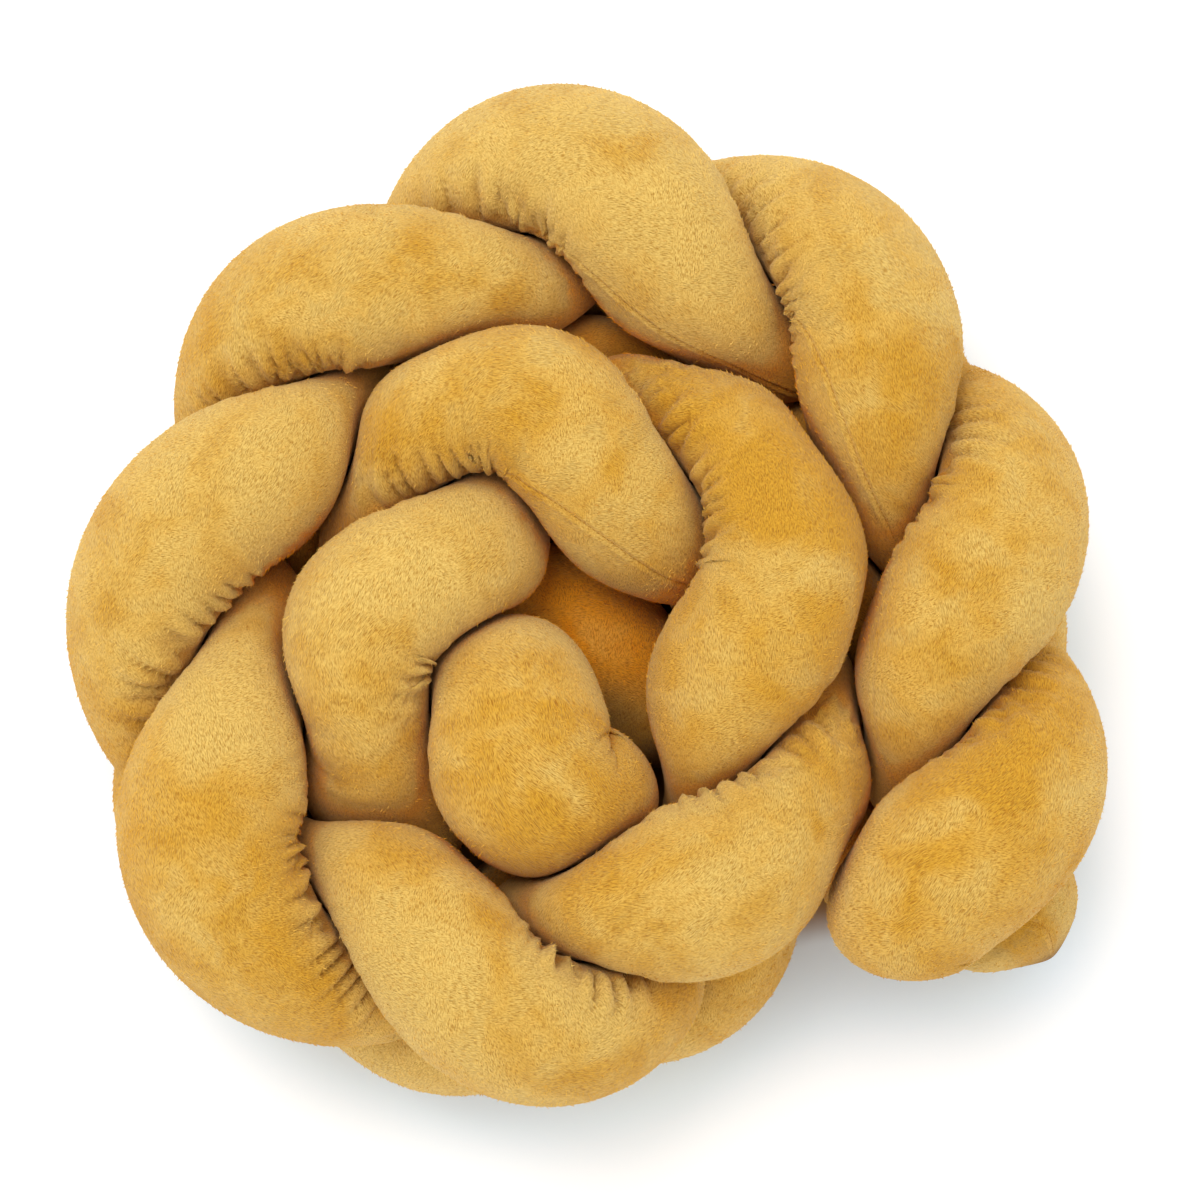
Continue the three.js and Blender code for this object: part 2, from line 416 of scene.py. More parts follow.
@dataclass
class StuffedForm:
    """The plump form of the strands, pressed flat against each other, themselves and the floor."""

    plait: Plait
    lines: list[Centreline]
    gap: float = 1.0
    fullness: float = 1.06
    squash_power: float = 7.0
    bend_fill: float = 0.9
    bend_easing: int = 6
    least_radius: float = 4.0
    press_step: float = 6.0
    press_reach: float = 2.6
    own_reach: float = 2.4
    end_length: float = 0.75
    corner_easing: int = 10
    corner_easing_along: int = 2
    corner_rounds: int = 2

    def end_share(self, along: Array, length: float) -> Array:
        """How much of its radius a strand has, rounding off towards both ends.

        Args:
            along: Distances along the strand.
            length: Its whole length.

        Returns:
            One share for each distance.
        """
        share = np.ones_like(along)
        for distance in (along, length - along):
            inside = ramp(distance, 0, self.end_length * self.plait.radius)
            share = share * np.sqrt(1 - (1 - inside) ** 2)
        return share

    def neighbour_limit(self, number: int, rays: Array) -> Array:
        """How far the skin can go along each ray before it meets another stretch of plush.

        Args:
            number: Which strand.
            rays: Directions from each point of its centreline.

        Returns:
            One distance for each ray.
        """
        line = self.lines[number]
        every = max(1, round(self.press_step / (line.along[1] - line.along[0])))
        points, along, radii = (
            np.concatenate([getattr(other, name)[::every] for other in self.lines])
            for name in ("points", "along", "radius")
        )
        owner = np.concatenate([np.full(len(other.along[::every]), k) for k, other in enumerate(self.lines)])
        reach = self.press_reach * self.plait.radius
        own_stretch = self.own_reach * self.plait.radius
        limit = np.full(rays.shape[:2], FAR)
        for i, centre in enumerate(line.points):
            apart = points - centre
            squared = (apart**2).sum(axis=1)
            near = squared < reach**2
            near &= (owner != number) | (np.abs(along - line.along[i]) > own_stretch)
            if not near.any():
                continue
            facing = rays[i] @ apart[near].T
            squared = squared[near]
            middle = (squared + line.radius[i] ** 2 - radii[near] ** 2) / 2 - self.gap / 2 * np.sqrt(squared)
            limit[i] = np.where(facing > TINY, middle / np.maximum(facing, TINY), FAR).min(axis=1)
        return np.maximum(limit, self.least_radius)

    def bend_toward(self, line: Centreline, rays: Array, easing: int) -> Array:
        """How much the strand bends towards each ray, for each millimetre of its run.

        Args:
            line: The strand's centreline.
            rays: Directions from each of its points.
            easing: How often the bend is averaged along the strand.

        Returns:
            One value for each ray, below zero on the outside of a bend.
        """
        bend = np.gradient(line.tangent(), axis=0) / np.gradient(line.along)[:, None]
        return np.einsum("ijk,ik->ij", rays, eased(bend, easing))

    def bend_limit(self, line: Centreline, rays: Array) -> Array:
        """How far the skin can go on the inside of a bend before it folds on itself."""
        toward = self.bend_toward(line, rays, self.bend_easing)
        return np.where(toward > TINY, self.bend_fill / np.maximum(toward, TINY), FAR)

    def corners_off(self, radius: Array) -> Array:
        """Wears the sharp ridges between pressed faces round.

        Args:
            radius: The radii of the rings' points.

        Returns:
            The worn radii, none of them larger.
        """
        for _ in range(self.corner_rounds):
            smooth = radius
            for _ in range(self.corner_easing):
                smooth = eased(eased_round(smooth), self.corner_easing_along)
            radius = np.minimum(radius, smooth)
        return radius

    def skin(self, number: int, turns: Array) -> tuple[Array, Array, Array]:
        """The pressed skin of one strand.

        Args:
            number: Which strand.
            turns: The angle of each column of each ring, in radians.

        Returns:
            The skin's points, the share of its round radius that each has left, and the rays they lie on.
        """
        line = self.lines[number]
        side, up = line.square()
        rays = side[:, None] * np.cos(turns)[..., None] + up[:, None] * np.sin(turns)[..., None]
        hard = np.minimum(self.neighbour_limit(number, rays), self.bend_limit(line, rays))
        ends = np.maximum(self.end_share(line.along, line.along[-1]), TINY)
        plain = (line.radius * self.fullness * ends)[:, None]
        power = self.squash_power
        radius = self.corners_off((plain**-power + hard**-power) ** (-1 / power))
        down = np.maximum(-rays[..., 2], TINY)
        radius = np.minimum(radius, line.points[:, None, 2] / down)
        return line.points[:, None] + rays * radius[..., None], radius / plain, rays


@dataclass
class SlackCover:
    """The plush cover, longer than its filled form, so that it gathers wherever a strand bends inward.

    The cover is settled as cloth: its threads along the strand can't shorten, so they buckle where the form
    gives them too little length, while its own stiffness and the filling keep the rest smooth.
    """

    slack: float = 1.0
    gathered_slack: float = 1.8
    gathered_below: float = 0.96
    gathered_most: float = 0.86
    squashed_below: float = 0.55
    squashed_above: float = 0.70
    patch_length: float = 34.0
    patches_round: int = 7
    least_patches: int = 4
    least_gathered: float = 0.3
    rounds: int = 130
    stretch_stiffness: float = 0.8
    round_stiffness: float = 0.25
    bending: float = 0.09
    round_bending: float = 0.8
    filling: float = 0.01
    unevenness: float = 0.35
    uneven_rounds: int = 3
    uneven_pull: float = 0.7
    fold_depth: float = 4.6
    slip: float = 1.2
    pressed_below: float = 0.62
    free_above: float = 0.88
    swell_below: float = 0.76
    swell_above: float = 0.94
    pressed_fold_share: float = 0.06
    held_rings: int = 2

    @staticmethod
    def normals(points: Array, rays: Array) -> Array:
        """Outward directions of a skin.

        Args:
            points: The skin, as rings of points.
            rays: Directions that lead roughly outward from each of them.

        Returns:
            One direction for each point.
        """
        around = np.roll(points, -1, axis=1) - np.roll(points, 1, axis=1)
        square = unit(np.cross(around, np.gradient(points, axis=0)))
        return square if (square * rays).sum() > 0 else -square

    def start_noise(self, shape: tuple[int, int], seed: int) -> Array:
        """Small unevenness of the cover, drawn out across the folds that it starts.

        Args:
            shape: How many rings and columns there are.
            seed: The seed of the unevenness.

        Returns:
            One height for each point.
        """
        noise = np.random.default_rng(seed).normal(0, 1, shape)
        for _ in range(self.uneven_rounds):
            noise = noise + self.uneven_pull * beside(noise)
        return self.unevenness * noise / noise.std()

    def patches(self, shape: tuple[int, int], step: float, seed: int) -> Array:
        """Uneven shares, so that the cover is gathered more in some places than in others.

        Args:
            shape: How many rings and columns there are.
            step: The distance between rings.
            seed: The seed of the patches.

        Returns:
            One share for each point.
        """
        count = max(self.least_patches, round(shape[0] * step / self.patch_length))
        coarse = np.random.default_rng(seed).random((count, self.patches_round))
        along = read_rows(coarse, np.linspace(0, count - 1, shape[0])).T
        around = read_round(along, np.arange(shape[1]) * self.patches_round / shape[1])
        return np.clip(self.least_gathered + (1 - self.least_gathered) * around.T, 0, 1)

    def cloth_length(self, press: Array, loose: Array) -> Array:
        """The cover's length between rings as a share of their distance, more where it is in contact.

        Args:
            press: The share of its round radius that each point has left.
            loose: The share of its gathers that each point has.

        Returns:
            One share for each point of all rings but the last.
        """
        contact = ramp(press, self.gathered_below, self.gathered_most)
        contact *= ramp(press, self.squashed_below, self.squashed_above) * loose
        contact = (contact[:-1] + contact[1:]) / 2
        return self.slack + (self.gathered_slack - self.slack) * contact

    def keep_length(self, points: Array, wanted: Array) -> None:
        """Pushes apart, in place, neighbours along the strand that are closer than the cloth between them.

        Args:
            points: The cover, as rings of points.
            wanted: The length of the cloth between each point and the next along the strand.
        """
        for first in (0, 1):
            near = points[first:-1:2]
            far = points[first + 1 :: 2][: len(near)]
            edge = far - near
            length = np.linalg.norm(edge, axis=2)
            short = np.minimum(length - wanted[first::2][: len(near)], 0) / np.maximum(length, TINY)
            push = (self.stretch_stiffness / 2 * short)[..., None] * edge
            near += push
            far -= push

    def settle(self, form: Array, press: Array, rays: Array, step: float, loose: Array, seed: int) -> Array:
        """Settles the cover on its form.

        Args:
            form: The pressed skin, as rings of points.
            press: The share of its round radius that each point has left.
            rays: The rays that the points lie on.
            step: The distance between rings along the centreline.
            loose: The share of its gathers that each point has, none deep between the strands.
            seed: The seed of the cover's unevenness.

        Returns:
            How far each point has moved from the form.
        """
        outward = self.normals(form, rays)
        moved = outward * self.start_noise(form.shape[:2], seed)[..., None]
        cloth = self.cloth_length(press, loose * self.patches(press.shape, step, seed)) * step
        wanted = np.maximum(np.linalg.norm(np.diff(form, axis=0), axis=2), cloth)
        around = np.linalg.norm(to_next(form), axis=2)
        most_out = self.fold_depth * ramp(press, self.swell_below, self.swell_above)
        free = ramp(press, self.pressed_below, self.free_above)
        most_in = self.fold_depth * (self.pressed_fold_share + (1 - self.pressed_fold_share) * free)
        for _ in range(self.rounds):
            points = form + moved
            self.keep_length(points, wanted)
            edge = to_next(points)
            length = np.linalg.norm(edge, axis=2)
            pull = (self.round_stiffness * (length - around) / np.maximum(length, TINY))[..., None] * edge
            moved = points + pull - np.roll(pull, 1, axis=1) - form
            spread = self.round_bending * (beside(moved) - 2 * moved)
            spread[1:-1] += moved[:-2] + moved[2:] - 2 * moved[1:-1]
            moved = (moved + self.bending * spread) * (1 - self.filling)
            height = (moved * outward).sum(axis=2)
            slid = moved - height[..., None] * outward
            slid_length = np.linalg.norm(slid, axis=2, keepdims=True)
            slid *= np.minimum(1, self.slip / np.maximum(slid_length, TINY))
            moved = slid + np.clip(height, -most_in, most_out)[..., None] * outward
            moved[: self.held_rings] = 0
            moved[-self.held_rings :] = 0
        return moved


@dataclass
class EdgePuckers:
    """Short rounded puckers of the cover, square to the edges where one strand goes under another."""

    depth: float = 6.5
    outward_share: float = 0.42
    grain: float = 3.2
    drift: float = 10.0
    run: float = 16.0
    reach: float = 8.0
    flow_step: float = 0.7
    near_below: float = 1.0
    near_most: float = 0.92
    squashed_below: float = 0.50
    squashed_above: float = 0.68
    soft_valley: float = 0.25
    mean_ridge: float = 0.8
    highest: float = 0.9

    @staticmethod
    def blurred(values: Array, size: float, cell: Span) -> Array:
        """Blurs values on the rings alike along and round the strand.

        Args:
            values: The values.
            size: How far they spread, in millimetres.
            cell: The distance between points along and round the strand.

        Returns:
            The blurred values.
        """
        smooth = eased(values, round(2 * (size / cell[0]) ** 2))
        for _ in range(round(2 * (size / cell[1]) ** 2)):
            smooth = eased_round(smooth)
        return smooth

    @staticmethod
    def slopes(values: Array, cell: Span) -> tuple[Array, Array]:
        """How fast values change along and round the strand, for each millimetre."""
        around = (np.roll(values, -1, axis=1) - np.roll(values, 1, axis=1)) / (2 * cell[1])
        return np.gradient(values, axis=0) / cell[0], around

    def drawn_out(self, noise: Array, press: Array, cell: Span) -> Array:
        """Draws noise out into streaks that run from the pressed parts of the cover to the free ones.

        Args:
            noise: The noise.
            press: The share of its round radius that each point has left.
            cell: The distance between points along and round the strand.

        Returns:
            The streaks.
        """
        along, around = self.slopes(self.blurred(press, self.grain, cell), cell)
        size = np.maximum(np.hypot(along, around), TINY)
        along, around = along / size, around / size
        for _ in range(round(self.run**2 / (2 * self.flow_step))):
            first, second = self.slopes(noise, cell)
            first, second = self.slopes(along * first + around * second, cell)
            noise = noise + self.flow_step * (along * first + around * second)
        return noise

    def heights(self, form: Array, press: Array, step: float, loose: Array, seed: int) -> Array:
        """How far the puckers lift the cover off its form.

        Args:
            form: The pressed skin, as rings of points.
            press: The share of its round radius that each point has left.
            step: The distance between rings along the centreline.
            loose: The share of its puckers that each point has.
            seed: The seed of their places.

        Returns:
            One height for each point, below zero in the valleys.
        """
        cell = (step, float(np.linalg.norm(to_next(form), axis=2).mean()))
        noise = np.random.default_rng(seed).normal(0, 1, press.shape)
        noise = self.blurred(noise, self.grain, cell) - self.blurred(noise, self.drift, cell)
        streaks = self.drawn_out(noise, press, cell)
        streaks /= np.sqrt(self.blurred(streaks**2, self.drift, cell)) + TINY
        ridges = np.sqrt(streaks**2 + self.soft_valley**2) - self.mean_ridge
        near = ramp(self.blurred(press, self.reach, cell), self.near_below, self.near_most)
        near *= ramp(press, self.squashed_below, self.squashed_above)
        heights = self.depth * near * loose * np.minimum(ridges, self.highest)
        return np.where(heights > 0, self.outward_share, 1.0) * heights


@dataclass
class SkyView:
    """How much of the sky is seen from the places of the coil, by the heights of what stands round them."""

    points: Array
    cell: float = 6.0
    margin: int = 4
    directions: int = 12
    reach: float = 90.0
    deep_below: float = 0.16
    open_above: float = 0.40
    shelter_easing: int = 60
    sheltered_below: float = 0.88
    sheltered_above: float = 0.97

    def __post_init__(self) -> None:
        """Draws the map of heights, and of how far inside the coil each of its cells is."""
        ground = self.points[:, :2]
        self.corner = ground.min(axis=0) - self.margin * self.cell
        self.shape = np.ceil((ground.max(axis=0) - self.corner) / self.cell).astype(int) + self.margin
        self.heights = np.zeros(self.shape)
        np.maximum.at(self.heights, self.cells(ground), self.points[:, 2])
        inside = eased_map((self.heights > 0).astype(float), self.shelter_easing)
        self.shelter = ramp(inside, self.sheltered_below, self.sheltered_above)

    def cells(self, ground: Array) -> tuple[Array, Array]:
        """The map's cells under places on the ground."""
        found = np.clip(((ground - self.corner) / self.cell).astype(int), 0, self.shape - 1)
        return found[:, 0], found[:, 1]

    def depth(self, points: Array) -> Array:
        """How deep down in the coil each point lies, from 0 in the open to 1 where hardly any sky is seen.

        Args:
            points: The points.

        Returns:
            One value for each point.
        """
        ground, height = points[:, :2], points[:, 2]
        sky = np.zeros(len(points))
        for turn in np.arange(self.directions) * FULL_TURN / self.directions:
            heading = np.array((math.cos(turn), math.sin(turn)))
            slope = np.zeros(len(points))
            for distance in np.arange(self.cell, self.reach, self.cell):
                there = self.heights[self.cells(ground + heading * distance)]
                slope = np.maximum(slope, (there - height) / distance)
            sky += 1 / (1 + slope**2) / self.directions
        return ramp(sky, self.open_above, self.deep_below) * self.shelter[self.cells(ground)]


class NodeSheet:
    """Adds nodes to a node tree, with their inputs set or linked as they are made."""

    def __init__(self, tree: bpy.types.NodeTree) -> None:
        """Starts on an empty tree."""
        self.tree = tree
        tree.nodes.clear()

    @classmethod
    def of_material(cls, name: str) -> tuple[Material, "NodeSheet"]:
        """Makes a new material.

        Args:
            name: Its name.

        Returns:
            The material, and the sheet for its nodes.
        """
        made = bpy.data.materials.new(name)
        made.use_nodes = True
        return made, cls(made.node_tree)

    def fill(self, socket: Socket, value: object) -> None:
        """Sets one input to a value, or links it to the output of another node.

        Args:
            socket: The input.
            value: The value or output.
        """
        if isinstance(value, Socket):
            self.tree.links.new(value, socket)
        else:
            socket.default_value = value

    def add(self, kind: str, inputs: Inputs | None = None, **settings: object) -> bpy.types.Node:
        """Adds one node.

        Args:
            kind: The node's type.
            inputs: Values for its inputs, or the outputs of other nodes to link to them.
            settings: Its own settings.

        Returns:
            The node.
        """
        node = self.tree.nodes.new(kind)
        for name, value in settings.items():
            setattr(node, name, value)
        for key, value in (inputs or {}).items():
            self.fill(node.inputs[key], value)
        return node

    def out(self, kind: str, inputs: Inputs | None = None, **settings: object) -> Socket:
        """Adds one node, and gives its first output."""
        return self.add(kind, inputs, **settings).outputs[0]

    def carried(self, name: str) -> Socket:
        """A value that the mesh carries under a name, for a material."""
        return self.add("ShaderNodeAttribute", attribute_name=name).outputs["Fac"]

    def place(self) -> Socket:
        """The place on the object, for a material."""
        return self.add("ShaderNodeTexCoord").outputs["Object"]

    def math(self, operation: str, first: object, second: object) -> Socket:
        """Adds a sum on two numbers, and gives its result."""
        return self.out("ShaderNodeMath", {0: first, 1: second}, operation=operation)

    def shared(self, first: Socket, first_share: float, second: Socket, second_share: float) -> Socket:
        """Adds two values, each times its share, and gives their sum."""
        parts = (self.math("MULTIPLY", first, first_share), self.math("MULTIPLY", second, second_share))
        return self.math("ADD", *parts)

    def vector(self, operation: str, inputs: Inputs) -> Socket:
        """Adds a sum on vectors, and gives its result."""
        return self.out("ShaderNodeVectorMath", inputs, operation=operation)

    def spread(self, value: Socket, low: float, high: float) -> Socket:
        """Adds a smooth step that takes low to 0 and high to 1."""
        inputs = {"Value": value, "From Min": low, "From Max": high}
        return self.out("ShaderNodeMapRange", inputs, interpolation_type="SMOOTHSTEP")

    def mix(self, share: object, first: object, second: object, blend: str = "MIX") -> Socket:
        """Adds a mix of two colours.

        Args:
            share: How much there is of the second one.
            first: A colour, or the output of another node.
            second: The other one.
            blend: How they are mixed.

        Returns:
            The mixed colour.
        """
        node = self.add("ShaderNodeMix", {"Factor": share}, data_type="RGBA", blend_type=blend)
        for key, value in zip(MIX_COLOURS, (first, second)):
            self.fill(node.inputs[key], value if isinstance(value, Socket) else (*value, 1.0))
        return node.outputs[MIX_RESULT]

    def noise(self, where: Socket, scale: object, detail: float, warp: float = 0.0) -> Socket:
        """Adds cloudy noise of a given scale, and gives its value."""
        inputs = {"Vector": where, "Scale": scale, "Detail": detail, "Distortion": warp}
        return self.out("ShaderNodeTexNoise", inputs)

    def surface(self, inputs: Inputs) -> None:
        """Ends a material with a surface of the given colour, roughness and so on."""
        self.add("ShaderNodeOutputMaterial", {"Surface": self.out("ShaderNodeBsdfPrincipled", inputs)})

    def turned(self, heading: Socket, stray: Socket, seed: Socket) -> Socket:
        """Adds a turn to a heading for what is set out on points.

        Args:
            heading: The heading.
            stray: How far it strays at random.
            seed: The seed of that.

        Returns:
            The rotation that takes the upright axis to the heading.
        """
        span = {"Min": self.math("MULTIPLY", stray, -1.0), "Max": stray, "Seed": seed}
        strayed = self.out("FunctionNodeRandomValue", span, data_type="FLOAT_VECTOR")
        headed = self.vector("ADD", {0: heading, 1: strayed})
        return self.out("FunctionNodeAlignRotationToVector", {"Vector": headed}, axis="Z")

    def set_out(self, inputs: Inputs, material: Socket) -> None:
        """Ends a Geometry Nodes tree with one instance on each point, made real mesh in one material.

        Args:
            inputs: The points, the instance, and its rotation and scale on each of them.
            material: The material.
        """
        placed = self.out("GeometryNodeInstanceOnPoints", inputs)
        real = self.out("GeometryNodeRealizeInstances", {0: placed})
        dressed = self.out("GeometryNodeSetMaterial", {"Geometry": real, "Material": material})
        self.add("NodeGroupOutput", {"Geometry": dressed})


@dataclass(frozen=True)
class PlushFinish:
    """Short, dense, brushed pile in mustard, with painted light and shade: paler where the light catches its
    nap.
    """

    name: str
    offset: float
    pale: Colour = srgb(235, 197, 107)
    deep: Colour = srgb(221, 165, 48)
    # painted shade: the dark colour put into fold valleys and where strands press together
    painted_crevice_shade: Colour = srgb(126, 68, 12)
    # painted shade between the tufts of the pile
    painted_tuft_shade: Colour = (0.56, 0.42, 0.22)
    # painted shade and bounced light deep in the coil: a warm colour that the tone is multiplied by there
    shaded: Colour = (1.16, 0.72, 0.12)
    tuft: Colour = srgb(242, 200, 110)
    tuft_lightness: float = 0.15
    tuft_gloss: float = 0.1
    cloud_detail: float = 3.0
    patch_size: float = 80.0
    patch_warp: float = 0.8
    patch_share: float = 0.7
    smudge_size: float = 24.0
    smudge_warp: float = 0.5
    smudge_share: float = 0.3
    pale_span: Span = (0.34, 0.62)
    stroke_length: float = 2.0
    stroke_width: float = 0.36
    stroke_detail: float = 1.0
    stroke_warp: float = 0.4
    stroke_share: float = 0.75
    grain_size: float = 0.9
    grain_detail: float = 2.0
    grain_share: float = 0.25
    across_span: Span = (0.44, 0.56)
    back_span: Span = (0.46, 0.56)
    tip_span: Span = (0.30, 0.62)
    valley_span: Span = (0.1, 1.0)
    valley_shade_share: float = 0.35
    contact_shade_share: float = 0.65
    bump_height: float = 1.4
    bump_strength: float = 0.8
    roughness: float = 0.95
    gloss: float = 0.15
    sheen: float = 0.35
    sheen_roughness: float = 0.5
    sheen_tint: Colour = (1.0, 0.83, 0.52)

    def strokes(self, sheet: NodeSheet, cover: Socket, lay: Lay) -> Socket:
        """Draws the fine strokes of pile lying one way.

        Args:
            sheet: The sheet to add them to.
            cover: The place on the cover laid out flat.
            lay: The way they lie.

        Returns:
            Their height.
        """
        scale = (1 / (self.stroke_width * MM), 1 / (self.stroke_length * MM), 1.0)
        turn = (0, 0, math.radians(lay.value))
        turned = sheet.out("ShaderNodeMapping", {"Vector": cover, "Rotation": turn})
        drawn = sheet.out("ShaderNodeMapping", {"Vector": turned, "Scale": scale})
        return sheet.noise(drawn, 1.0, self.stroke_detail, self.stroke_warp)

    def tone(self, sheet: NodeSheet) -> tuple[Socket, Socket, Socket]:
        """The tone of the plush in brushed patches, with the painted light of each crest added.

        Args:
            sheet: The sheet to add it to.

        Returns:
            The tone, and the large and the small patches that it follows.
        """
        moved = sheet.out("ShaderNodeMapping", {"Vector": sheet.place(), "Location": (self.offset,) * 3})
        patches = sheet.noise(moved, 1 / (self.patch_size * MM), self.cloud_detail, self.patch_warp)
        smudges = sheet.noise(moved, 1 / (self.smudge_size * MM), self.cloud_detail, self.smudge_warp)
        lay = sheet.shared(patches, self.patch_share, smudges, self.smudge_share)
        # painted light: the share of each crest makes whole petals paler or deeper
        lay = sheet.math("ADD", lay, sheet.carried("brushed"))
        return sheet.mix(sheet.spread(lay, *self.pale_span), self.deep, self.pale), patches, smudges

    def pressed(self, sheet: NodeSheet, tone: Socket) -> Socket:
        """Paints shade into a tone: darker in the valleys of folds and where strands press together, and
        warmer deep in the coil.

        Args:
            sheet: The sheet to add it to.
            tone: The tone.

        Returns:
            The deeper tone.
        """
        # painted shade: fold valleys and faces pressed against other strands are darkened towards the crevice
        # colour
        crease = sheet.spread(sheet.carried("crease"), *self.valley_span)
        valley = sheet.math("MULTIPLY", crease, self.valley_shade_share)
        hidden = sheet.math("SUBTRACT", 1.0, sheet.carried("free"))
        hidden = sheet.math("MULTIPLY", hidden, self.contact_shade_share)
        # painted shade: where little sky is seen, the tone is multiplied by the warm shaded colour
        warm = sheet.mix(sheet.carried("painted_deep_shade"), tone, self.shaded, "MULTIPLY")
        return sheet.mix(sheet.math("MAXIMUM", valley, hidden), warm, self.painted_crevice_shade)

    def pile_material(self) -> Material:
        """Builds the finish of the tufts that stand out of the nap.

        Returns:
            The material, a little paler than the cover's.
        """
        made, sheet = NodeSheet.of_material(f"{self.name} pile")
        tone, _, _ = self.tone(sheet)
        # the tufts get the same painted shade as the cover
        colour = self.pressed(sheet, sheet.mix(self.tuft_lightness, tone, self.tuft))
        sheet.surface(
            {"Base Color": colour, "Roughness": self.roughness, "Specular IOR Level": self.tuft_gloss}
        )
        return made

    def material(self) -> Material:
        """Builds the finish of the cover.

        Returns:
            The material, which reads the cover's UV map and the values that its mesh carries.
        """
        made, sheet = NodeSheet.of_material(self.name)
        cover = sheet.out("ShaderNodeUVMap", uv_map="cover")
        tone, patches, smudges = self.tone(sheet)
        across, along, back = (self.strokes(sheet, cover, lay) for lay in (Lay.ACROSS, Lay.ALONG, Lay.BACK))
        strokes = sheet.mix(sheet.spread(patches, *self.across_span), along, across)
        strokes = sheet.mix(sheet.spread(smudges, *self.back_span), strokes, back)
        grain = sheet.noise(cover, 1 / (self.grain_size * MM), self.grain_detail)
        pile = sheet.shared(strokes, self.stroke_share, grain, self.grain_share)
        # painted shade: the low parts of the pile's strokes are darkened, and their tips keep the tone
        between = sheet.mix(1.0, tone, self.painted_tuft_shade, "MULTIPLY")
        toned = sheet.mix(sheet.spread(pile, *self.tip_span), between, tone)
        relief = {"Strength": self.bump_strength, "Distance": self.bump_height * MM, "Height": pile}
        sheet.surface(
            {
                "Base Color": self.pressed(sheet, toned),
                "Roughness": self.roughness,
                "Specular IOR Level": self.gloss,
                "Sheen Weight": self.sheen,
                "Sheen Roughness": self.sheen_roughness,
                "Sheen Tint": (*self.sheen_tint, 1.0),
                "Normal": sheet.out("ShaderNodeBump", relief),
            }
        )
        return made


@dataclass(frozen=True)
class ThreadFinish:
    """Matt sewing thread, a shade darker than the plush."""

    name: str = "mustard thread"
    light: Colour = srgb(198, 142, 52)
    dark: Colour = srgb(160, 106, 30)
    twist_size: float = 0.7
    twist_detail: float = 2.0
    twist_span: Span = (0.4, 0.6)
    roughness: float = 0.8
    gloss: float = 0.2

    def material(self) -> Material:
        """Builds the finish.

        Returns:
            The material.
        """
        made, sheet = NodeSheet.of_material(self.name)
        twist = sheet.noise(sheet.place(), 1 / (self.twist_size * MM), self.twist_detail)
        colour = sheet.mix(sheet.spread(twist, *self.twist_span), self.dark, self.light)
        sheet.surface({"Base Color": colour, "Roughness": self.roughness, "Specular IOR Level": self.gloss})
        return made


